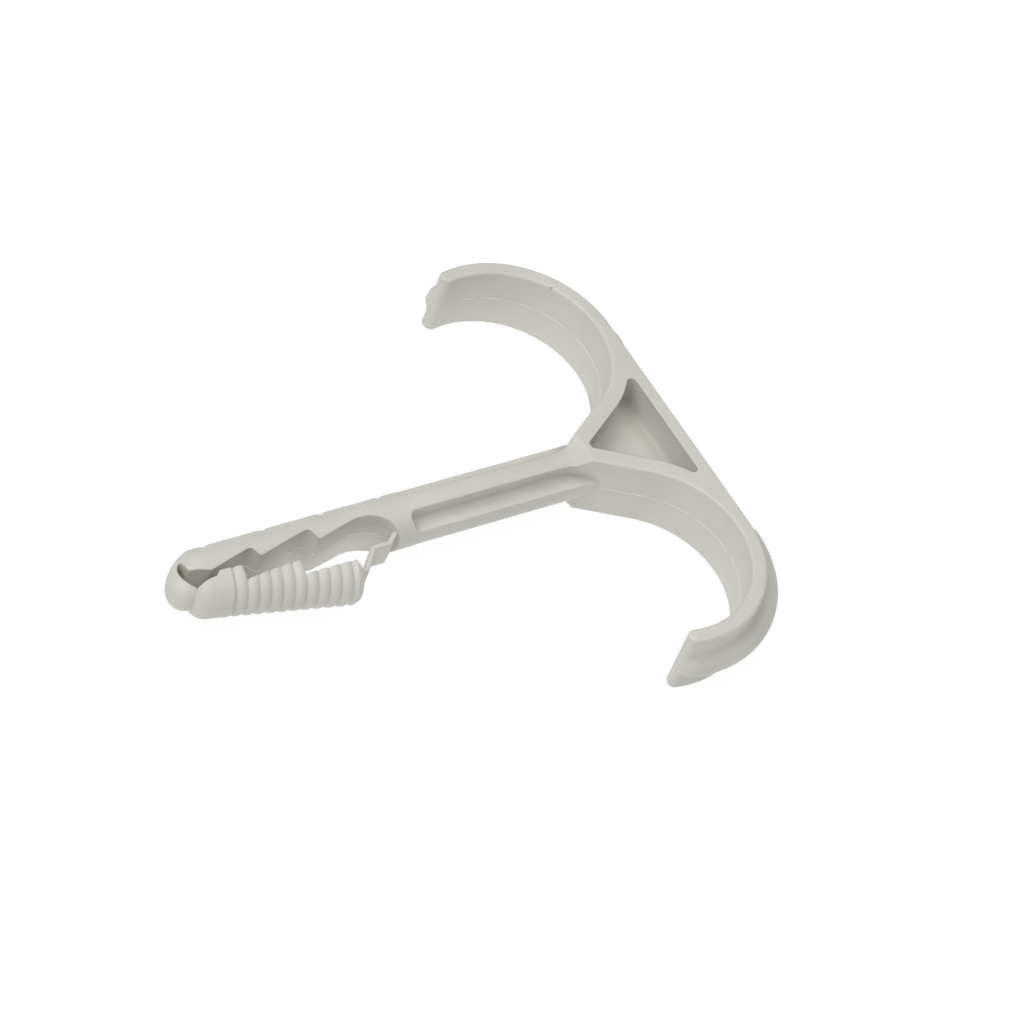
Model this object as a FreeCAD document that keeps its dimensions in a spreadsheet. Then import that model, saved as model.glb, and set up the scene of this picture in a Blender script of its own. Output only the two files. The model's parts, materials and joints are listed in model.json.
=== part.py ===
import FreeCAD, Part
import math
import os
import re
import Sketcher

# Double push-in clip, moulded in one piece: a plug that is pressed into a drilled hole, a straight back
# wall across its head, and a hook on each side that holds a pipe or a cable against the wall.
# X runs along the plug, from its nose (-X) to the back wall (+X). Z runs along the held pipes.
# The origin is on the plug's axis, level with the two hooks' centres, half-way through the band.

SIZES = {
    # hooks and back wall
    "hook_bore_radius": 10.0,
    "hook_wall": 1.6,
    "hook_offset": 13.6,
    "band_width": 7.5,
    "wrap_angle": 104,
    "tip_round": 0.65,
    "tip_flat": 0.15,
    "edge_round": 0.3,
    # head between the hooks, with a three-cornered pocket in each side
    "cheek_angle": 31,
    "neck_round": 4.5,
    "head_ramp": 1.65,
    "pocket_cheek_wall": 1.75,
    "pocket_back_wall": 1.5,
    "pocket_web": 0.9,
    "pocket_corner": 0.55,
    "pocket_foot_round": 0.5,
    # rib along the outside of each hook
    "rib_width": 2.9,
    "rib_drop": 0.35,
    "rib_crest_radius": 13.3,
    "rib_lead_height": 2.75,
    "rib_lead_reach": 1.73,
    "rib_lead_extra": 0.1,
    "rib_tip_height": 0.94,
    "rib_end_angle": 5.5,
    "rib_end_rise": 0.3,
    "rib_stop_round": 2.0,
    "rib_root_clearance": 0.15,
    "rib_crest_flat": 0.1,
    "rib_foot_round": 0.7,
    # shaft of the plug, cross-shaped near the head
    "shaft_radius": 2.75,
    "shaft_inset": 2.0,
    "blade_thickness": 1.9,
    "blade_foot_round": 0.5,
    "flange_thickness": 1.94,
    "recess_start": 21.3,
    "recess_end_angle": 24,
    "recess_corner_extra": 0.1,
    # nose, its sections set back from the tip and shifted towards the wedge
    "plug_length": 47.35,
    "shoulder_setback": 3.4,
    "cheek_setback": 2.15,
    "cheek_shift": 0.36,
    "cheek_radius": 2.52,
    "brow_setback": 0.9,
    "brow_shift": 0.8,
    "brow_radius": 1.95,
    "tip_shift": 1.05,
    "tip_radius": 1.0,
    "nose_round": 0.6,
    # slot, teeth and window cut into one side of the plug
    "slot_centre_setback": 2.75,
    "slot_centre_drop": 0.5,
    "slot_round": 1.87,
    "slot_end_angle": 40,
    "hinge_setback": 2.0,
    "shaft_end_setback": 1.73,
    "shaft_end_foot": 0.25,
    "shaft_end_corner": 0.35,
    "first_tip_setback": 3.85,
    "first_ramp": 4.9,
    "second_ramp": 6.0,
    "ramp_angle": 13.2,
    "tooth_face": 0.58,
    "tooth_reach": 1.2,
    "tooth_root_round": 0.45,
    "tooth_tip_round": 0.4,
    "window_radius": 4.1,
    "window_top": 0.12,
    # grip notches along the other side of the plug
    "notch_first_setback": 5.0,
    "notch_pitch": 6.6,
    "notch_width": 1.3,
    "notch_depth": 0.2,
    "notch_axis_shift": 0.35,
    # ribbed wedge, hinged on the nose and splayed outwards
    "wedge_axis_drop": 1.05,
    "wedge_splay": 12.0,
    "wedge_length": 16.95,
    "wedge_radius": 2.9,
    "wedge_front_radius": 1.75,
    "wedge_front_overlap": 0.15,
    "wedge_front_length": 1.5,
    "wedge_end_radius": 2.6,
    "wedge_rib_start": 3.85,
    "wedge_rib_pitch": 1.2,
    "wedge_rib_depth": 0.22,
    "wedge_hinge_drop": 1.37,
    "wedge_step": 2.05,
    "wedge_step_drop": 0.7,
    "wedge_step_run": 0.35,
    "wedge_step_rise": 0.55,
    "wedge_first_crest": 4.85,
    "wedge_crest_pitch": 5.92,
    "wedge_crest_height": 0.28,
    "wedge_tooth_face": 0.22,
    "wedge_root_drop": 1.23,
    "wedge_last_crest_drop": 0.3,
    "wedge_end_slant": 0.65,
    "wedge_end_drop": 1.1,
    # zigzag strap between the wedge's end and the shaft
    "strap_thickness": 0.46,
    "strap_height": 2.9,
    "strap_root_drop": 0.8,
    "strap_root_run": 1.4,
    "strap_flat": 1.85,
    "strap_fold_run": 1.7,
    "strap_fold_drop": 1.35,
    "strap_end_angle": 33,
    "strap_sink": 0.5,
}
GRIP_NOTCHES = 4
# An edge counts as a rib's foot where this many spots along it do.
FOOT_SAMPLES = 5
# Cutting outlines run this far past the surface that they cut.
SPILL = 1.5
# Spots this close together count as one; the looser figure is for curves where two surfaces meet.
TOUCH = 1e-6
FIT_TOUCH = 1e-3
# The last rib of the wedge is at least this share of a rib's pitch long.
LAST_RIB_SHARE = 0.6
# Radius of the slot's rounded end as a share of its width, a little over a half circle's.
SLOT_CAP_SHARE = 0.51
UP = FreeCAD.Vector(0, 0, 1)

doc = FreeCAD.newDocument("double_clip")
sheet = doc.addObject("Spreadsheet::Sheet", "sizes")
for row, (alias, size) in enumerate(SIZES.items(), start=1):
    sheet.set("A%d" % row, str(size))
    sheet.setAlias("A%d" % row, alias)
doc.recompute()


def formula(text):
    """Put the sheet's name before each of its aliases in a formula."""
    def full_name(word):
        return ("sizes." if word.group() in SIZES else "") + word.group()

    return re.sub(r"[a-z]\w*", full_name, str(text))


def value(text):
    return float(sheet.evalExpression(formula(text)))


def bind(target, **properties):
    for prop, text in properties.items():
        target.setExpression(prop.replace("__", "."), formula(text))


def sketch_on(body, name, role="XY_Plane"):
    sketch = body.newObject("Sketcher::SketchObject", name)
    plane = next(item for item in body.Origin.OriginFeatures if item.Role == role)
    sketch.AttachmentSupport = [(plane, "")]
    sketch.MapMode = "FlatFace"
    return sketch


def datum(sketch, kind, refs, text):
    index = sketch.addConstraint(Sketcher.Constraint(kind, *refs, value(text)))
    sketch.setExpression("Constraints[%d]" % index, formula(text))


def circle(sketch, x, radius):
    ring = sketch.addGeometry(Part.Circle(FreeCAD.Vector(value(x), 0, 0), UP, value(radius)))
    datum(sketch, "DistanceX", (-1, 1, ring, 3), x)
    datum(sketch, "DistanceY", (-1, 1, ring, 3), "0")
    datum(sketch, "Radius", (ring,), radius)


def arc_between(start, end, radius, side):
    """Shorter arc from start to end, its centre on the left (1) or the right (-1) of the way there."""
    chord = end - start
    left = FreeCAD.Vector(-chord.y, chord.x, 0).normalize()
    rise = math.sqrt(max(radius ** 2 - (chord.Length / 2) ** 2, 0))
    centre = (start + end) / 2 + left * (side * rise)
    first, last = (start, end) if side > 0 else (end, start)
    angles = [math.atan2(point.y - centre.y, point.x - centre.x) for point in (first, last)]
    return Part.ArcOfCircle(Part.Circle(centre, UP, radius), *angles)


def outline(sketch, corners, closed=True):
    """Edges through corners (x, y) or (x, y, radius, side); the second form makes the next edge an arc."""
    spots = [FreeCAD.Vector(value(corner[0]), value(corner[1]), 0) for corner in corners]
    ends = []
    for index in range(len(corners) if closed else len(corners) - 1):
        start = spots[index]
        end = spots[(index + 1) % len(spots)]
        bend = corners[index][2:]
        if bend:
            edge = sketch.addGeometry(arc_between(start, end, value(bend[0]), bend[1]))
        else:
            edge = sketch.addGeometry(Part.LineSegment(start, end))
        backwards = bend and bend[1] < 0
        ends.append(((edge, 2), (edge, 1)) if backwards else ((edge, 1), (edge, 2)))
    for index in range(0 if closed else 1, len(ends)):
        sketch.addConstraint(Sketcher.Constraint("Coincident", *ends[index - 1][1], *ends[index][0]))
    for index, corner in enumerate(corners):
        vertex = ends[index][0] if index < len(ends) else ends[-1][1]
        datum(sketch, "DistanceX", (-1, 1, *vertex), corner[0])
        datum(sketch, "DistanceY", (-1, 1, *vertex), corner[1])
        if corner[2:]:
            datum(sketch, "Radius", (ends[index][0][0],), corner[2])


def feature(body, kind, name, **properties):
    item = body.newObject("PartDesign::" + kind, name)
    for prop, setting in properties.items():
        setattr(item, prop, setting)
    return item


def prism(body, kind, sketch, name, length):
    """Pad or Pocket of a sketch, to the same length on both sides of its plane."""
    item = feature(body, kind, name, Profile=sketch, Midplane=True)
    bind(item, Length=length)
    doc.recompute()
    return item


def soften(body, name, test, radius):
    """Fillet on each edge of the body so far that passes the test."""
    base = body.Tip
    names = ["Edge%d" % number for number, edge in enumerate(base.Shape.Edges, start=1) if test(edge)]
    item = feature(body, "Fillet", name, Base=(base, names))
    bind(item, Radius=radius)
    doc.recompute()


def upright(edge):
    low, high = [vertex.Point for vertex in (edge.Vertexes[0], edge.Vertexes[-1])]
    return abs(low.x - high.x) + abs(low.y - high.y) < TOUCH


def on_level(edge, level):
    return all(abs(abs(vertex.Point.z) - level) < TOUCH for vertex in edge.Vertexes)


def at_tip(edge):
    """True for an edge in the flat end of a hook's tip."""
    turn = math.radians(value("wrap_angle"))
    offset = value("hook_offset")
    return all(abs(vertex.Point.x * math.sin(turn) - (abs(vertex.Point.y) - offset) * math.cos(turn)) < TOUCH
               and vertex.Point.x * math.cos(turn) > 0 for vertex in edge.Vertexes)


def mirrored(source, name, normal):
    twin = doc.addObject("Part::Mirroring", name)
    twin.Source = source
    twin.Normal = normal
    return twin


def make_head(ribs):
    """Both hooks with their ribs, the back wall and the solid head between the hooks."""
    body = doc.addObject("PartDesign::Body", "head")
    sketch = sketch_on(body, "head_outline")
    bore = "hook_bore_radius"
    outer = "(hook_bore_radius + hook_wall)"
    cheek_x = "hook_bore_radius * sin(cheek_angle)"
    cheek_y = "(hook_offset - hook_bore_radius * cos(cheek_angle))"
    front_x = "%s - (%s - blade_thickness / 2) / tan(cheek_angle)" % (cheek_x, cheek_y)
    neck_run = "neck_round * tan(cheek_angle / 2)"
    neck_x = "%s + %s * cos(cheek_angle)" % (front_x, neck_run)
    neck_y = "(blade_thickness / 2 + %s * sin(cheek_angle))" % neck_run
    neck_start = "%s - %s" % (front_x, neck_run)
    tip_x = "%s * cos(wrap_angle)"
    tip_y = "hook_offset + %s * sin(wrap_angle)"
    outline(sketch, [
        (tip_x % bore, "-(%s)" % (tip_y % bore), bore, 1),
        (bore, "-hook_offset", bore, 1),
        (cheek_x, "-" + cheek_y),
        (neck_x, "-" + neck_y, "neck_round", 1),
        (neck_start, "-blade_thickness / 2"),
        (neck_start, "blade_thickness / 2", "neck_round", 1),
        (neck_x, neck_y),
        (cheek_x, cheek_y, bore, 1),
        (bore, "hook_offset", bore, 1),
        (tip_x % bore, tip_y % bore),
        (tip_x % outer, tip_y % outer, outer, -1),
        (outer, "hook_offset"),
        (outer, "-hook_offset", outer, -1),
        (tip_x % outer, "-(%s)" % (tip_y % outer)),
    ])
    prism(body, "Pad", sketch, "band", "band_width")
    join_ribs(body, ribs)
    face = value("band_width / 2")
    soften(body, "tip_ends", lambda edge: at_tip(edge) and not on_level(edge, face), "tip_round")
    soften(body, "tip_bore_edges", lambda edge: at_tip(edge) and upright(edge),
           "hook_wall - tip_round - tip_flat")
    soften(body, "soft_edges", lambda edge: on_level(edge, face), "edge_round")
    ramp = sketch_on(body, "ramp_outline", "XZ_Plane")
    neck_top = "sqrt(shaft_radius ^ 2 - blade_thickness ^ 2 / 4)"
    for sign in ("", "-"):
        outline(ramp, [
            (neck_start + " - %g" % SPILL, sign + neck_top),
            (front_x + " + head_ramp + %s - band_width / 2" % neck_top, sign + neck_top),
            (front_x + " + head_ramp + %g" % SPILL, sign + "(band_width / 2 + %g)" % SPILL),
            (neck_start + " - %g" % SPILL, sign + "(band_width / 2 + %g)" % SPILL),
        ])
    prism(body, "Pocket", ramp, "ramps", "2 * hook_offset - 2 * hook_bore_radius")
    return body


def make_rib():
    """Crescent rib along the outside of one hook, tall at the back wall and low at the hook's tip."""
    body = doc.addObject("PartDesign::Body", "rib")
    sketch = sketch_on(body, "rib_outline")
    bind(sketch, AttachmentOffset__Base__z="-rib_drop")
    root = "(hook_bore_radius + rib_root_clearance)"
    skin = "hook_bore_radius + hook_wall"

    def on_hook(radius, angle):
        return "(%s) * cos(%s)" % (radius, angle), "-(%s) * sin(%s) - hook_offset" % (radius, angle)

    outline(sketch, [
        (skin + " + rib_lead_height", "rib_lead_reach - hook_offset", "rib_crest_radius", -1),
        on_hook(skin + " + rib_tip_height", "(wrap_angle - rib_end_angle)"),
        on_hook(skin + " + rib_end_rise", "wrap_angle"),
        on_hook(root, "wrap_angle") + (root, 1),
        (root, "-hook_offset"),
        (root, "rib_lead_reach - hook_offset"),
    ])
    prism(body, "Pad", sketch, "rib_web", "rib_width")
    offset = value("hook_offset")
    inner = value(root) + TOUCH
    outer = value(skin)

    def reach(vertex):
        return math.hypot(vertex.Point.x, vertex.Point.y + offset)

    def crest_corner(edge):
        return upright(edge) and not at_tip(edge) and reach(edge.Vertexes[0]) > outer

    crest_round = "(rib_width - rib_crest_flat) / 2"
    soften(body, "rib_lead", lambda edge: crest_corner(edge) and edge.Vertexes[0].Point.y > -offset,
           crest_round + " + rib_lead_extra")
    soften(body, "rib_stop", lambda edge: crest_corner(edge) and edge.Vertexes[0].Point.y < -offset,
           "rib_stop_round")
    soften(body, "rib_crest", lambda edge: not upright(edge) and not at_tip(edge)
           and all(reach(vertex) > inner for vertex in edge.Vertexes), crest_round)
    return body


def join_ribs(body, ribs):
    """Ribs joined to the hooks, with a hollow round along the foot of each."""
    joint = feature(body, "Boolean", "ribbed_band")
    joint.setObjects(ribs)
    doc.recompute()
    skin = value("hook_bore_radius + hook_wall")
    offset = value("hook_offset")
    half = value("rib_width / 2") + FIT_TOUCH
    drop = value("rib_drop")

    def on_skin(spot):
        past_centre = max(abs(spot.y) - offset, 0)
        return abs(math.hypot(spot.x, past_centre) - skin) < FIT_TOUCH

    soften(body, "rib_feet", lambda edge: all(abs(spot.z + drop) < half and on_skin(spot)
                                              for spot in edge.discretize(FOOT_SAMPLES)), "rib_foot_round")


def make_pocket():
    """Solid that fills the three-cornered pocket in one side of the head."""
    body = doc.addObject("PartDesign::Body", "pocket")
    sketch = sketch_on(body, "pocket_outline")
    bind(sketch, AttachmentOffset__Base__z="pocket_web / 2")
    side = "(hook_bore_radius + pocket_cheek_wall)"
    bend_x = "%s * sin(cheek_angle)" % side
    bend_y = "(hook_offset - %s * cos(cheek_angle))" % side
    back_x = "(hook_bore_radius + hook_wall - pocket_back_wall)"
    back_y = "(hook_offset - sqrt(%s ^ 2 - %s ^ 2))" % (side, back_x)
    outline(sketch, [
        ("%s - %s / tan(cheek_angle)" % (bend_x, bend_y), "0"),
        (bend_x, bend_y, side, 1),
        (back_x, back_y),
        (back_x, "-" + back_y, side, 1),
        (bend_x, "-" + bend_y),
    ])
    pad = feature(body, "Pad", "pocket_block", Profile=sketch)
    bind(pad, Length="band_width")
    doc.recompute()
    bend = value(bend_x)
    soften(body, "pocket_corners", lambda edge: upright(edge)
           and abs(edge.Vertexes[0].Point.x - bend) > TOUCH, "pocket_corner")
    soften(body, "pocket_foot", lambda edge: on_level(edge, value("pocket_web / 2")),
           "pocket_foot_round")
    return body


def make_shaft():
    """Round plug with a lofted nose, recessed to a cross near the head and saw-toothed at the other end."""
    body = doc.addObject("PartDesign::Body", "shaft")
    bar_sketch = sketch_on(body, "bar_section", "YZ_Plane")
    bind(bar_sketch, AttachmentOffset__Base__z="shaft_inset")
    circle(bar_sketch, "0", "shaft_radius")
    bar = feature(body, "Pad", "bar", Profile=bar_sketch, Reversed=True)
    bind(bar, Length="plug_length - shoulder_setback + shaft_inset")
    sections = []
    for name, setback, shift, radius in (("shoulder", "shoulder_setback", "0", "shaft_radius"),
                                         ("cheek", "cheek_setback", "-cheek_shift", "cheek_radius"),
                                         ("brow", "brow_setback", "-brow_shift", "brow_radius"),
                                         ("tip", "0", "-tip_shift", "tip_radius")):
        section = sketch_on(body, "nose_" + name, "YZ_Plane")
        bind(section, AttachmentOffset__Base__z="%s - plug_length" % setback)
        circle(section, shift, radius)
        sections.append(section)
    feature(body, "AdditiveLoft", "nose", Profile=sections[0], Sections=sections[1:])
    doc.recompute()
    nose_x = -value("plug_length")
    soften(body, "nose_end", lambda edge: all(abs(vertex.Point.x - nose_x) < TOUCH
                                              for vertex in edge.Vertexes), "nose_round")
    cut_recesses(body)
    cut_notches(body)
    cut_teeth(body)
    return body


def cut_recesses(body):
    """Four recesses that leave an upright blade and a flat flange, with a hollow round where they meet."""
    sketch = sketch_on(body, "recess_outlines")
    bind(sketch, AttachmentOffset__Base__z="flange_thickness / 2")
    spill = "(shaft_radius + %g)" % SPILL
    blade = "blade_thickness / 2"
    corner = "(blade_foot_round + recess_corner_extra)"
    corner_run = "%s / tan(45 - recess_end_angle / 2)" % corner
    for sign, side in (("", -1), ("-", 1)):
        outline(sketch, [
            ("(%s - %s) * tan(recess_end_angle) - recess_start" % (spill, blade), sign + spill),
            ("%s * sin(recess_end_angle) - recess_start" % corner_run,
             sign + "(%s + %s * cos(recess_end_angle))" % (blade, corner_run), corner, -side),
            (corner_run + " - recess_start", sign + blade),
            ("shaft_inset + %g" % SPILL, sign + blade),
            ("shaft_inset + %g" % SPILL, sign + spill),
        ])
    recess = feature(body, "Pocket", "recesses", Profile=sketch, Reversed=True)
    bind(recess, Length="shaft_radius + %g" % SPILL)
    plane = next(item for item in body.Origin.OriginFeatures if item.Role == "XY_Plane")
    twin = feature(body, "Mirrored", "recesses_below", Originals=[recess], MirrorPlane=(plane, [""]))
    body.Tip = twin
    doc.recompute()
    side = value(blade)
    level = value("flange_thickness / 2")
    soften(body, "blade_feet", lambda edge: on_level(edge, level)
           and all(abs(abs(vertex.Point.y) - side) < TOUCH for vertex in edge.Vertexes), "blade_foot_round")


def cut_notches(body):
    """Shallow grip notches, deepest on the side away from the wedge."""
    sketch = sketch_on(body, "notch_outline")
    bind(sketch, AttachmentOffset__Base__y="-notch_axis_shift")
    surface = "shaft_radius + notch_axis_shift"
    hollow = "(notch_width ^ 2 / 4 + notch_depth ^ 2) / (2 * notch_depth)"
    for step in range(GRIP_NOTCHES):
        middle = "notch_first_setback - plug_length + notch_pitch * %d" % step
        outline(sketch, [
            (middle + " - notch_width / 2", surface, hollow, 1),
            (middle + " + notch_width / 2", surface),
            (middle + " + notch_width / 2", surface + " + notch_depth"),
            (middle + " - notch_width / 2", surface + " + notch_depth"),
        ])
    feature(body, "Groove", "notches", Profile=sketch, ReferenceAxis=(sketch, ["H_Axis"]))
    doc.recompute()


def third_tip():
    return "first_tip_setback - plug_length + first_ramp + second_ramp + 2 * tooth_face"


def arch_drop():
    """How far below the plug's axis the window's arch takes over from the last ramp."""
    return "(window_top + window_radius * (1 - cos(ramp_angle)))"


def arch_start():
    return "%s + (tooth_reach - %s) / tan(ramp_angle)" % (third_tip(), arch_drop())


def window_middle():
    return "%s + window_radius * sin(ramp_angle)" % arch_start()


def cut_teeth(body):
    """Slot behind the nose, saw teeth and window, cut through one side of the plug."""
    sketch = sketch_on(body, "teeth_outline")
    outside = "-(shaft_radius + %g)" % SPILL
    hinge_x = "hinge_setback - plug_length"
    hinge_y = "-slot_centre_drop - sqrt(slot_round ^ 2 - (slot_centre_setback - hinge_setback) ^ 2)"
    slot_x = "slot_centre_setback - plug_length - slot_round * cos(slot_end_angle)"
    slot_y = "slot_round * sin(slot_end_angle) - slot_centre_drop"
    end_x = "shaft_end_setback - plug_length"
    first_tip = "first_tip_setback - plug_length"
    first_root = first_tip + " + first_ramp"
    second_tip = first_root + " + tooth_face"
    second_root = second_tip + " + second_ramp"
    fall = "(window_top + window_radius - shaft_radius - %g)" % SPILL
    outline(sketch, [
        (hinge_x, outside),
        (hinge_x, hinge_y, "slot_round", -1),
        (slot_x, slot_y, "(%s - (%s)) * %g" % (end_x, slot_x, SLOT_CAP_SHARE), -1),
        (end_x, slot_y),
        (end_x, "-shaft_end_foot", "shaft_end_corner", 1),
        (end_x + " + shaft_end_corner", "-shaft_end_foot - shaft_end_corner"),
        (first_tip, "-tooth_reach"),
        (first_root, "first_ramp * tan(ramp_angle) - tooth_reach"),
        (second_tip, "-tooth_reach"),
        (second_root, "second_ramp * tan(ramp_angle) - tooth_reach"),
        (third_tip(), "-tooth_reach"),
        (arch_start(), "-" + arch_drop(), "window_radius", -1),
        ("%s + sqrt(window_radius ^ 2 - %s ^ 2)" % (window_middle(), fall), outside),
    ])
    prism(body, "Pocket", sketch, "teeth", "4 * shaft_radius")
    for name, spots in (("root", (first_root, second_root)), ("tip", (second_tip, third_tip()))):
        places = [value(spot) for spot in spots]
        soften(body, "tooth_%ss" % name, lambda edge: upright(edge)
               and min(abs(edge.Vertexes[0].Point.x - place) for place in places) < TOUCH,
               "tooth_%s_round" % name)


def make_wedge():
    """Half-round wedge, ribbed outside and saw-toothed inside, turned about the film hinge on the nose."""
    body = doc.addObject("PartDesign::Body", "wedge")
    body.Placement = FreeCAD.Placement(FreeCAD.Vector(), FreeCAD.Rotation(UP, -value("wedge_splay")))
    bind(body, Placement__Base__x="hinge_setback - plug_length", Placement__Base__y="-wedge_axis_drop",
         Placement__Rotation__Angle="-wedge_splay")
    sketch = sketch_on(body, "wedge_section")
    front_rise = "(wedge_radius - wedge_front_radius)"
    front_run = "(wedge_front_length + wedge_front_overlap)"
    valley = "wedge_radius - wedge_rib_depth"
    bulge = "(wedge_rib_pitch ^ 2 / 4 + wedge_rib_depth ^ 2) / (2 * wedge_rib_depth)"
    rib_count = int(value("(wedge_length - wedge_rib_start) / wedge_rib_pitch") + 1 - LAST_RIB_SHARE)
    corners = [
        ("-wedge_front_overlap", "0"),
        ("-wedge_front_overlap", "wedge_front_radius",
         "(%s ^ 2 + %s ^ 2) / (2 * %s)" % (front_run, front_rise, front_rise), -1),
        ("wedge_front_length", "wedge_radius"),
        ("wedge_rib_start - wedge_rib_pitch / 4", "wedge_radius"),
    ]
    for rib in range(rib_count - 1):
        corners.append(("wedge_rib_start + wedge_rib_pitch * %d" % rib, valley, bulge, -1))
    corners += [
        ("wedge_rib_start + wedge_rib_pitch * %d" % (rib_count - 1), valley),
        ("wedge_length - wedge_rib_pitch / 2", "wedge_radius"),
        ("wedge_length", "wedge_end_radius"),
        ("wedge_length", "0"),
    ]
    outline(sketch, corners)
    feature(body, "Revolution", "wedge_round", Profile=sketch, ReferenceAxis=(sketch, ["H_Axis"]))
    doc.recompute()
    cut = sketch_on(body, "wedge_inside")
    above = "wedge_radius + %g" % SPILL
    before = "-wedge_front_overlap - %g" % SPILL
    beyond = "wedge_length + %g" % SPILL
    second_crest = "wedge_first_crest + wedge_crest_pitch"
    outline(cut, [
        (before, above),
        (before, "-wedge_hinge_drop"),
        ("-wedge_front_overlap", "-wedge_hinge_drop"),
        ("wedge_step", "-wedge_step_drop"),
        ("wedge_step + wedge_step_run", "wedge_step_rise - wedge_step_drop"),
        ("wedge_first_crest", "wedge_crest_height"),
        ("wedge_first_crest + wedge_tooth_face", "-wedge_root_drop"),
        (second_crest, "wedge_crest_height"),
        (second_crest + " + wedge_tooth_face", "-wedge_root_drop"),
        ("wedge_length - wedge_end_slant", "-wedge_last_crest_drop"),
        ("wedge_length", "-wedge_end_drop"),
        (beyond, "-wedge_end_drop"),
        (beyond, above),
    ])
    prism(body, "Pocket", cut, "wedge_face", "4 * wedge_radius")
    return body


def make_strap():
    """Thin zigzag strap that holds the wedge's end to the far side of the window."""
    path = doc.addObject("Sketcher::SketchObject", "strap_line")
    along = "(wedge_length - strap_sink)"
    hinge_x = "hinge_setback - plug_length"
    root_x = "%s + %s * cos(wedge_splay) - strap_root_drop * sin(wedge_splay)" % (hinge_x, along)
    root_y = "-wedge_axis_drop - %s * sin(wedge_splay) - strap_root_drop * cos(wedge_splay)" % along
    reach = "(window_radius + strap_sink)"
    end_x = "%s + %s * cos(strap_end_angle)" % (window_middle(), reach)
    end_y = "%s * sin(strap_end_angle) - window_top - window_radius" % reach
    outline(path, [
        (root_x, root_y),
        (root_x + " + strap_root_run", root_y),
        (end_x + " - strap_fold_run - strap_flat", end_y + " - strap_fold_drop"),
        (end_x + " - strap_fold_run", end_y + " - strap_fold_drop"),
        (end_x, end_y),
    ], closed=False)
    sleeve = doc.addObject("Part::Offset2D", "strap_edge")
    sleeve.Source = path
    sleeve.Mode = "Pipe"
    sleeve.Join = "Arc"
    bind(sleeve, Value="strap_thickness / 2")
    strap = doc.addObject("Part::Extrusion", "strap")
    strap.Base = sleeve
    strap.DirMode = "Custom"
    strap.Dir = UP
    strap.Solid = True
    strap.Symmetric = True
    bind(strap, LengthFwd="strap_height")
    return strap


rib = make_rib()
far_rib = mirrored(rib, "far_rib", FreeCAD.Vector(0, 1, 0))
doc.recompute()
head = make_head([rib, far_rib])
shaft = make_shaft()
wedge = make_wedge()
strap = make_strap()
moulding = doc.addObject("Part::MultiFuse", "moulding")
moulding.Shapes = [head, shaft, wedge, strap]
pocket = make_pocket()
low_pocket = mirrored(pocket, "low_pocket", UP)
half_done = doc.addObject("Part::Cut", "top_pocketed")
half_done.Base = moulding
half_done.Tool = pocket
clip = doc.addObject("Part::Cut", "double_clip")
clip.Base = half_done
clip.Tool = low_pocket
clip.Label = "double_clip"
doc.recompute()

for item in doc.Objects:
    if "Invalid" in item.State or "Error" in item.State:
        raise RuntimeError("%s is not built: %s" % (item.Name, item.State))
if clip.Shape.isNull() or not clip.Shape.isValid() or len(clip.Shape.Solids) != 1:
    raise RuntimeError("the clip is not one sound solid: %d" % len(clip.Shape.Solids))
os.makedirs("parts", exist_ok=True)
clip.Shape.exportStep("parts/%s.step" % clip.Label)
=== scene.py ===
import json
import math

import bmesh
import bpy
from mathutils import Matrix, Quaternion, Vector


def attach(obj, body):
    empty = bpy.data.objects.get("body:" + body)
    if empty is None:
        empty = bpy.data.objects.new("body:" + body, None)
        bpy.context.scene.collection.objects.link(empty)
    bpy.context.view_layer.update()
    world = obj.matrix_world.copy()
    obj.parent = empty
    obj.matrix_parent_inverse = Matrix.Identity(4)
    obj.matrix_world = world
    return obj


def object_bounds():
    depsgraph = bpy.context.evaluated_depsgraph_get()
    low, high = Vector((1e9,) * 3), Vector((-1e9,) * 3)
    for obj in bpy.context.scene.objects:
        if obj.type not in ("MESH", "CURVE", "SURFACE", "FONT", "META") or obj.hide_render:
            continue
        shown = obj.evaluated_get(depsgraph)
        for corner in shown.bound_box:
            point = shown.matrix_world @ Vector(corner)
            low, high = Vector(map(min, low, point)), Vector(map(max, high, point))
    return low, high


# A double push-in clip, moulded in one piece of light grey plastic, lying on a pale studio floor.
# Lengths are metres in the CAD model's frame: X along the plug, Z along the held pipes.
# Angles are degrees, and a share or a range without a unit runs from 0 to 1.

MM = 0.001

# Camera, as the photograph shows the part
PHOTO_PIXELS = 1024
FOCAL_PIXELS = 4500
SENSOR_WIDTH_MM = 36
VIEW_AZIMUTH = -48.935
VIEW_ELEVATION = 46.321
VIEW_ROLL = -23.687
VIEW_DISTANCE = 439.645 * MM
VIEW_TARGET = Vector((-10.528, -3.868, 1.935)) * MM

# Studio: soft boxes in watts, and a floor that glows so that it shows hardly any shade
WHITE = (1, 1, 1, 1)
SKY_STRENGTH = 0.08
LIGHT_DISTANCE = 0.7
SOFT_BOXES = [
    {"name": "overhead", "azimuth": -80, "elevation": 80, "size": 1.3, "power": 8.0},
    {"name": "left_key", "azimuth": -100, "elevation": 45, "size": 0.4, "power": 0.8},
    {"name": "front_fill", "azimuth": -60, "elevation": 40, "size": 0.4, "power": 0.15},
]
FLOOR_HALF = 3.0
FLOOR_GREY = (0.10, 0.10, 0.10, 1)
FLOOR_ROUGHNESS = 0.9
FLOOR_SPECULAR = 0.0
FLOOR_GLOW = 0.93

# Colours of the plastic, linear
PLASTIC_DULL = (0.600, 0.590, 0.545, 1)
PLASTIC_BRIGHT = (0.640, 0.628, 0.585, 1)
# painted shade colour, multiplied into crevices
CREVICE_PAINTED_SHADE = (0.72, 0.72, 0.62, 1)
# painted shade colour, multiplied into walled-in floors that face up
RECESS_FLOOR_SHADE = (0.77, 0.77, 0.75, 1)
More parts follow.
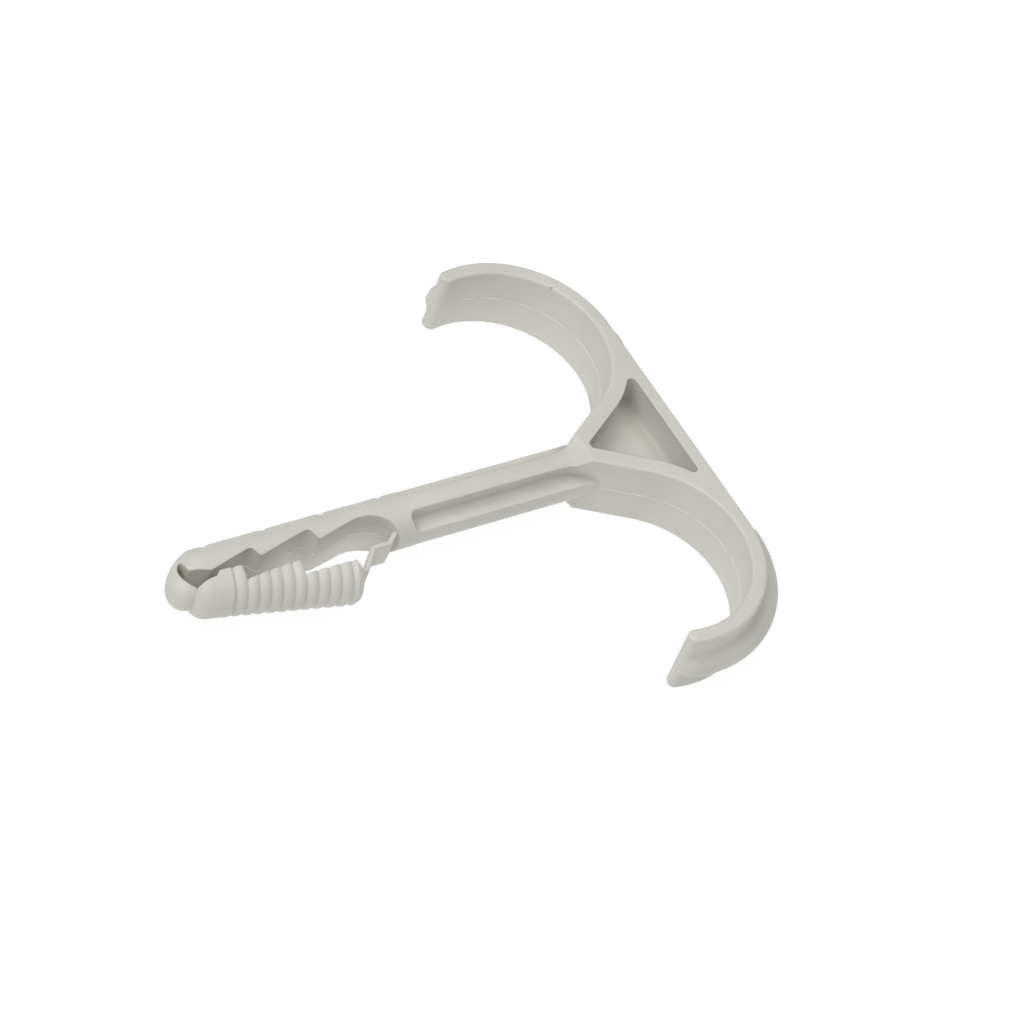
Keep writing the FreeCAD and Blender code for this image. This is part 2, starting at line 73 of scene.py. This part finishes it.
# pale colour of the pin ring on the tip, and of the wear and painted highlight on edges
PALE_MARK_AND_HIGHLIGHT = (0.740, 0.725, 0.670, 1)
SPECK_DARK = (0.22, 0.20, 0.17, 1)
# painted highlight colour of the raised parting, pin and flow lines
FLASH_PAINTED_HIGHLIGHT = (0.80, 0.79, 0.75, 1)

# Noises of the plastic, and the range that most of a noise's values lie in
CLOUD = {"size": 7 * MM, "detail": 3.0}
MOTTLE = {"size": 1.1 * MM, "detail": 4.0, "rough": 0.6}
GRAIN = {"size": 0.16 * MM, "detail": 3.0, "rough": 0.6}
FLASH_PATCHES = {"size": 1.5 * MM, "detail": 3.0}
SCRATCH_WANDER = {"size": 1.6 * MM, "detail": 1.0}
SCRATCH_PATCHES = {"size": 5 * MM, "detail": 1.0}
NOISE_SPAN = (0.3, 0.7)
NOISE_MIDDLE = 0.5

# Tone of the plastic
CLOUD_RANGE = (0.35, 0.65)
MOTTLE_RANGE = (0.4, 0.8)
MOTTLE_SHARE = 0.25
SHADER_SAMPLES = 8
# reach and openness range of the painted shade in crevices
CREVICE_REACH = 1.6 * MM
CREVICE_OPENNESS = (0.1, 0.55)
# reach, openness range and slope range of the painted shade on walled-in floors
RECESS_SHADE_REACH = 6 * MM
RECESS_SHADE_OPENNESS = (0.4, 0.9)
RECESS_SHADE_SLOPE = (0, 0.7)

# Wear and painted highlight on the edges: how far the softened normal has to turn, and how patchy the rubbing
# is
EDGE_RADIUS = 0.22 * MM
EDGE_TURN = (0.80, 0.99)
EDGE_SHARE = 0.75
EDGE_POLISH = 0.1
WEAR_RANGE = (0.35, 0.6)
WEAR_LEAST = 0.2

# Gloss, relief and depth of the plastic
PLASTIC_ROUGHNESS = (0.42, 0.56)
PLASTIC_SPECULAR = 0.4
GRAIN_RELIEF = 0.5
MOTTLE_RELIEF = 0.8
RELIEF_STRENGTH = 0.25
RELIEF_DEPTH = 0.03 * MM
SCATTER_WEIGHT = 0.12
SCATTER_RADIUS = (1.0, 0.9, 0.7)
SCATTER_DEPTH = 1 * MM
SCRATCH_STRETCH = (0.12, 1.0, 0.3)
SCRATCH_WIDTH = 0.006
SCRATCH_RELIEF = 0.35
SCRATCH_RANGE = (0.5, 0.6)

# Flash, painted paler as a highlight on the raised lines, more in some places than others
FLASH_RANGE = (0.3, 0.5)
FLASH_LEAST = 0.2
FLASH_ROUGHNESS = (0.4, 0.5)

# Specks: a few cells of a loose lattice have a dot, whose radii are shares of a cell
SPECK_SPACING = 2.6 * MM
SPECK_CHOICE = (0.80, 0.82)
SPECK_RADII = (0.02, 0.05)
SPECK_SHARE = 0.55
BAND_SPECK = Vector((8.08, 19.67, 3.67)) * MM
BAND_SPECK_RADIUS = 0.2 * MM
BAND_SPECK_SHARE = 0.6

# Parting line, and where the inside walls lie on the head's cheeks and in the plug's slot
PARTING_WIDTH = 0.12 * MM
WELD = 0.01 * MM
CHEEK_START = 1.3 * MM
CHEEK_END = 5.3 * MM
CHEEK_REACH = 5.2 * MM
SLOT_START = -44.3 * MM
SLOT_END = -23.5 * MM
SLOT_REACH = 2.4 * MM

# Marks of the mould's pins and of the flow of the plastic
PLUG_RADIUS = 2.75 * MM
RING_CENTRE = (-26.05 * MM, 0.95 * MM)
RING_RADII = (0.5 * MM, 1.1 * MM)
RING_WIDTH = 0.07 * MM
RING_STEPS = 48
FLOW_LINE = [Vector((1.48, 23.49, 2.09)) * MM, Vector((1.82, 23.43, 0.21)) * MM]
TIP_PIN = Vector((-2.16, -24.02, 3.75)) * MM
TIP_PIN_RADIUS = 0.38 * MM
TIP_PIN_LINE = 0.1 * MM
TIP_PIN_SHARE = 0.8

# What the CAD model gives
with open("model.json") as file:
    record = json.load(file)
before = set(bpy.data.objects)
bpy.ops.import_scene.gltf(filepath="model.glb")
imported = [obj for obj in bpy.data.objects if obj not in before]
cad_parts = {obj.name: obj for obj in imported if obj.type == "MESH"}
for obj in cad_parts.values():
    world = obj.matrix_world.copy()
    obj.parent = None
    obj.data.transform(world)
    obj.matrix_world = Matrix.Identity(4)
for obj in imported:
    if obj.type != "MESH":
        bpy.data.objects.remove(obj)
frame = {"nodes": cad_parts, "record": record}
cad_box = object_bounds()
clip = frame["nodes"]["double_clip"]
hooks = [mount for mount in frame["record"]["mounts"] if mount["kind"] == "clamp"]
hook_centres = [Vector(hook["pos_m"]) for hook in hooks]
hook_bore = hooks[0]["dims"]["r_mm"] * MM


class Nodes:
    """Short way to add nodes to a material and to join them."""

    # Sockets of a Mix node that carry colours
    MIX_FIRST = 6
    MIX_SECOND = 7
    MIX_RESULT = 2

    def __init__(self, material):
        material.use_nodes = True
        self.tree = material.node_tree
        self.shader = self.tree.nodes["Principled BSDF"]

    def add(self, kind, links=None, **settings):
        """A new node with its settings and its inputs."""
        node = self.tree.nodes.new("ShaderNode" + kind)
        for name, setting in settings.items():
            setattr(node, name, setting)
        self.feed(node, links or {})
        return node

    def feed(self, node, links):
        """Sets a node's inputs, by name or number, to plain values or joins them to other outputs."""
        for name, source in links.items():
            if isinstance(source, bpy.types.NodeSocket):
                self.tree.links.new(source, node.inputs[name])
            else:
                node.inputs[name].default_value = source

    def math(self, operation, *values):
        """Result of a sum, product or the like."""
        return self.add("Math", dict(enumerate(values)), operation=operation).outputs[0]

    def distance(self, place, spot):
        """Distance of the place on the surface from a fixed spot."""
        return self.add("VectorMath", {0: place, 1: spot}, operation="DISTANCE").outputs["Value"]

    def remap(self, value, low, high, new_low, new_high):
        """Clamped linear change of a value from one range to another."""
        ranges = {"From Min": low, "From Max": high, "To Min": new_low, "To Max": new_high}
        return self.add("MapRange", {"Value": value, **ranges}).outputs[0]

    def noise(self, place, size, detail, rough=0.5):
        """Noise from 0 to 1 whose features are about as large as size."""
        links = {"Vector": place, "Scale": 1 / size, "Detail": detail, "Roughness": rough}
        return self.add("TexNoise", links).outputs["Fac"]

    def openness(self, reach):
        """Share of the surroundings that is free within the reach."""
        return self.add("AmbientOcclusion", {"Distance": reach}, samples=SHADER_SAMPLES).outputs["AO"]

    def tint(self, colour, share, other, blend="MIX"):
        """A colour with a share of another blended in."""
        links = {"Factor": share, self.MIX_FIRST: colour, self.MIX_SECOND: other}
        return self.add("Mix", links, data_type="RGBA", blend_type=blend).outputs[self.MIX_RESULT]


def moulded_plastic():
    """Light grey plastic: cloudy tone, painted olive shade in crevices and on walled-in floors, edges paler
    from wear and painted highlight, specks, fine grain and scratches.
    """
    material = bpy.data.materials.new("moulded_grey_plastic")
    nodes = Nodes(material)
    place = nodes.add("TexCoord").outputs["Object"]
    cloud = nodes.noise(place, **CLOUD)
    mottle = nodes.noise(place, **MOTTLE)
    grain = nodes.noise(place, **GRAIN)
    soft = nodes.add("Bevel", {"Radius": EDGE_RADIUS}, samples=SHADER_SAMPLES).outputs[0]
    flat = nodes.add("NewGeometry").outputs["Normal"]
    openness = nodes.openness(CREVICE_REACH)
    wear_and_highlight = worn_and_highlit_edges(nodes, soft, flat, mottle)

    colour = nodes.tint(PLASTIC_DULL, nodes.remap(cloud, *CLOUD_RANGE, 0, 1), PLASTIC_BRIGHT)
    colour = nodes.tint(colour, nodes.remap(mottle, *MOTTLE_RANGE, 0, MOTTLE_SHARE), PLASTIC_DULL)
    # painted shade: darker and olive where the surface is closed in within a short reach
    colour = nodes.tint(colour, nodes.remap(openness, *CREVICE_OPENNESS, 1, 0), CREVICE_PAINTED_SHADE, "MULTIPLY")
    # painted shade on floors that face up and are walled in
    colour = nodes.tint(colour, recess_floor_shade(nodes, flat), RECESS_FLOOR_SHADE, "MULTIPLY")
    # painted highlight and wear: sharp edges paler, less so in crevices
    colour = nodes.tint(colour, nodes.math("MULTIPLY", wear_and_highlight, openness), PALE_MARK_AND_HIGHLIGHT)
    colour = nodes.tint(colour, tip_pin_ring(nodes, place), PALE_MARK_AND_HIGHLIGHT)
    colour = nodes.tint(colour, specks(nodes, place), SPECK_DARK)

    rough = nodes.remap(grain, *NOISE_SPAN, *PLASTIC_ROUGHNESS)
    polish = nodes.math("MULTIPLY", wear_and_highlight, EDGE_POLISH)
    relief = nodes.math("ADD", nodes.math("MULTIPLY", grain, GRAIN_RELIEF),
                        nodes.math("MULTIPLY", mottle, MOTTLE_RELIEF))
    relief = nodes.math("SUBTRACT", relief, scratches(nodes, place))
    bump = nodes.add("Bump", {"Height": relief, "Strength": RELIEF_STRENGTH, "Distance": RELIEF_DEPTH,
                              "Normal": soft})
    nodes.feed(nodes.shader, {"Base Color": colour,
                              "Roughness": nodes.math("SUBTRACT", rough, polish),
                              "Normal": bump.outputs[0],
                              "Specular IOR Level": PLASTIC_SPECULAR,
                              "Subsurface Weight": SCATTER_WEIGHT,
                              "Subsurface Radius": SCATTER_RADIUS,
                              "Subsurface Scale": SCATTER_DEPTH})
    return material


def flash_plastic_painted_highlight():
    """The same plastic where it was squeezed thin between the mould's halves: a little glossier, and painted
    paler as a highlight on the raised lines.
    """
    material = bpy.data.materials.new("flash_painted_highlight")
    nodes = Nodes(material)
    place = nodes.add("TexCoord").outputs["Object"]
    uneven = nodes.noise(place, **FLASH_PATCHES)
    # painted highlight: patchy paler colour on the raised lines
    colour = nodes.tint(PLASTIC_BRIGHT, nodes.remap(uneven, *FLASH_RANGE, FLASH_LEAST, 1), FLASH_PAINTED_HIGHLIGHT)
    nodes.feed(nodes.shader, {"Base Color": colour,
                              "Roughness": nodes.remap(uneven, *NOISE_SPAN, *FLASH_ROUGHNESS),
                              "Specular IOR Level": PLASTIC_SPECULAR})
    return material


def worn_and_highlit_edges(nodes, soft, flat, mottle):
    """Share of wear and painted highlight on sharp edges, where the softened normal turns away from the true
    one.
    """
    turn = nodes.add("VectorMath", {0: soft, 1: flat}, operation="DOT_PRODUCT").outputs["Value"]
    edge = nodes.remap(turn, *EDGE_TURN, EDGE_SHARE, 0)
    return nodes.math("MULTIPLY", edge, nodes.remap(mottle, *WEAR_RANGE, WEAR_LEAST, 1))


def recess_floor_shade(nodes, flat):
    """Share of painted shade on floors that face up and are walled in, such as a pocket's."""
    level = nodes.remap(nodes.add("SeparateXYZ", {0: flat}).outputs["Z"], *RECESS_SHADE_SLOPE, 0, 1)
    return nodes.math("MULTIPLY", level, nodes.remap(nodes.openness(RECESS_SHADE_REACH), *RECESS_SHADE_OPENNESS, 1, 0))


def specks(nodes, place):
    """Share of dark dirt in the moulding: scattered small dots, and a larger one on the far hook."""
    cells = nodes.add("TexVoronoi", {"Vector": place, "Scale": 1 / SPECK_SPACING})
    draw = nodes.add("SeparateColor", {0: cells.outputs["Color"]}).outputs[0]
    dot = nodes.remap(cells.outputs["Distance"], *SPECK_RADII, SPECK_SHARE, 0)
    scattered = nodes.math("MULTIPLY", nodes.remap(draw, *SPECK_CHOICE, 0, 1), dot)
    away = nodes.distance(place, BAND_SPECK)
    larger = nodes.remap(away, BAND_SPECK_RADIUS / 2, BAND_SPECK_RADIUS, BAND_SPECK_SHARE, 0)
    return nodes.math("MAXIMUM", scattered, larger)


def tip_pin_ring(nodes, place):
    """Share of the pale ring that an ejector pin left on a hook's tip."""
    away = nodes.distance(place, TIP_PIN)
    off_line = nodes.math("ABSOLUTE", nodes.math("SUBTRACT", away, TIP_PIN_RADIUS))
    return nodes.remap(off_line, TIP_PIN_LINE / 4, TIP_PIN_LINE, TIP_PIN_SHARE, 0)


def scratches(nodes, place):
    """Depth of faint scratches: thin level lines of a noise drawn out along the plug and the pipes."""
    drawn = nodes.add("Mapping", {"Vector": place, "Scale": SCRATCH_STRETCH}).outputs[0]
    wander = nodes.noise(drawn, **SCRATCH_WANDER)
    off_line = nodes.math("ABSOLUTE", nodes.math("SUBTRACT", wander, NOISE_MIDDLE))
    line = nodes.remap(off_line, 0, SCRATCH_WIDTH, SCRATCH_RELIEF, 0)
    patch = nodes.remap(nodes.noise(place, **SCRATCH_PATCHES), *SCRATCH_RANGE, 0, 1)
    return nodes.math("MULTIPLY", line, patch)


def parting_line():
    """Lines on the inside walls where the two mould halves met, half-way through the band."""
    section = bmesh.new()
    section.from_mesh(clip.data)
    bmesh.ops.remove_doubles(section, verts=section.verts, dist=WELD)
    every = section.verts[:] + section.edges[:] + section.faces[:]
    cut = bmesh.ops.bisect_plane(section, geom=every, plane_co=(0, 0, 0), plane_no=(0, 0, 1))["geom_cut"]
    lines = chains([edge for edge in cut if isinstance(edge, bmesh.types.BMEdge)
                    and all(on_inside_wall(vertex.co) for vertex in edge.verts)])
    section.free()
    return lines


def on_inside_wall(spot):
    """True inside a hook, on a cheek of the head, and in the slot with its teeth and window."""
    in_hook = min((spot - centre).length for centre in hook_centres) < hook_bore + WELD
    on_cheek = CHEEK_START < spot.x < CHEEK_END and abs(spot.y) < CHEEK_REACH
    in_slot = SLOT_START < spot.x < SLOT_END and abs(spot.y) < SLOT_REACH
    return in_hook or on_cheek or in_slot


def chains(edges):
    """Runs of neighbouring points along loose edges, each run a list of places, in the edges' own order."""
    left = dict.fromkeys(edges)
    runs = []
    while left:
        first = next(iter(left))
        del left[first]
        run = list(first.verts)
        for _ in ("forwards", "backwards"):
            step = True
            while step:
                step = next((edge for edge in run[-1].link_edges if edge in left), None)
                if step:
                    del left[step]
                    run.append(step.other_vert(run[-1]))
            run.reverse()
        runs.append([vertex.co.copy() for vertex in run])
    return runs


def ring_mark(radius):
    """Closed line round the pin mark on the plug, lying on its round surface."""
    spots = []
    for step in range(RING_STEPS + 1):
        turn = 2 * math.pi * step / RING_STEPS
        x = RING_CENTRE[0] + radius * math.cos(turn)
        y = RING_CENTRE[1] + radius * math.sin(turn)
        spots.append(Vector((x, y, math.sqrt(PLUG_RADIUS ** 2 - y ** 2))))
    return spots


def bead(name, lines, width, material):
    """Thin round bead along each line, half sunk into the surface that it lies on."""
    curve = bpy.data.curves.new(name, "CURVE")
    curve.dimensions = "3D"
    curve.bevel_depth = width / 2
    curve.bevel_resolution = 1
    curve.use_fill_caps = True
    for line in lines:
        spline = curve.splines.new("POLY")
        spline.points.add(len(line) - 1)
        for point, spot in zip(spline.points, line):
            point.co = (*spot, 1)
    curve.materials.append(material)
    piece = bpy.data.objects.new(name, curve)
    bpy.context.scene.collection.objects.link(piece)
    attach(piece, "root")


def floor_material():
    """Matt grey with a white glow of its own."""
    material = bpy.data.materials.new("pale_floor")
    nodes = Nodes(material)
    nodes.feed(nodes.shader, {"Base Color": FLOOR_GREY,
                              "Roughness": FLOOR_ROUGHNESS,
                              "Specular IOR Level": FLOOR_SPECULAR,
                              "Emission Color": WHITE,
                              "Emission Strength": FLOOR_GLOW})
    return material


def make_floor():
    """Level square that the part lies on."""
    level = cad_box[0].z
    signs = ((-1, -1), (1, -1), (1, 1), (-1, 1))
    mesh = bpy.data.meshes.new("studio_floor")
    mesh.from_pydata([(x * FLOOR_HALF, y * FLOOR_HALF, level) for x, y in signs], [], [(0, 1, 2, 3)])
    mesh.materials.append(floor_material())
    floor = bpy.data.objects.new("studio_floor", mesh)
    bpy.context.scene.collection.objects.link(floor)


def aim(thing, azimuth, elevation, distance, roll=0):
    """Puts a camera or a light into the scene at a distance from the part, facing it."""
    turn = math.radians(azimuth)
    lift = math.radians(elevation)
    back = Vector((math.sin(turn) * math.cos(lift), -math.cos(turn) * math.cos(lift), math.sin(lift)))
    thing.location = VIEW_TARGET + back * distance
    thing.rotation_mode = "QUATERNION"
    thing.rotation_quaternion = Quaternion(back, -math.radians(roll)) @ (-back).to_track_quat("-Z", "Y")
    bpy.context.scene.collection.objects.link(thing)


def make_camera():
    """Camera at the photograph's viewing angle."""
    camera = bpy.data.objects.new("camera", bpy.data.cameras.new("camera"))
    camera.data.sensor_width = SENSOR_WIDTH_MM
    camera.data.lens = FOCAL_PIXELS / PHOTO_PIXELS * SENSOR_WIDTH_MM
    aim(camera, VIEW_AZIMUTH, VIEW_ELEVATION, VIEW_DISTANCE, VIEW_ROLL)
    bpy.context.scene.camera = camera


def soft_light(name, azimuth, elevation, size, power):
    """Square soft box that faces the part."""
    light = bpy.data.objects.new(name, bpy.data.lights.new(name, "AREA"))
    light.data.size = size
    light.data.energy = power
    aim(light, azimuth, elevation, LIGHT_DISTANCE)


def make_sky():
    """Faint even light from all round."""
    world = bpy.data.worlds.new("studio")
    world.use_nodes = True
    sky = world.node_tree.nodes["Background"]
    sky.inputs["Color"].default_value = WHITE
    sky.inputs["Strength"].default_value = SKY_STRENGTH
    bpy.context.scene.world = world


clip.data.materials.clear()
clip.data.materials.append(moulded_plastic())
flash = flash_plastic_painted_highlight()
bead("parting_line", parting_line(), PARTING_WIDTH, flash)
bead("pin_mark", [ring_mark(radius) for radius in RING_RADII], RING_WIDTH, flash)
bead("flow_line", [FLOW_LINE], PARTING_WIDTH, flash)
make_floor()
make_camera()
make_sky()
for soft_box in SOFT_BOXES:
    soft_light(**soft_box)
bpy.context.scene.view_settings.view_transform = "Standard"
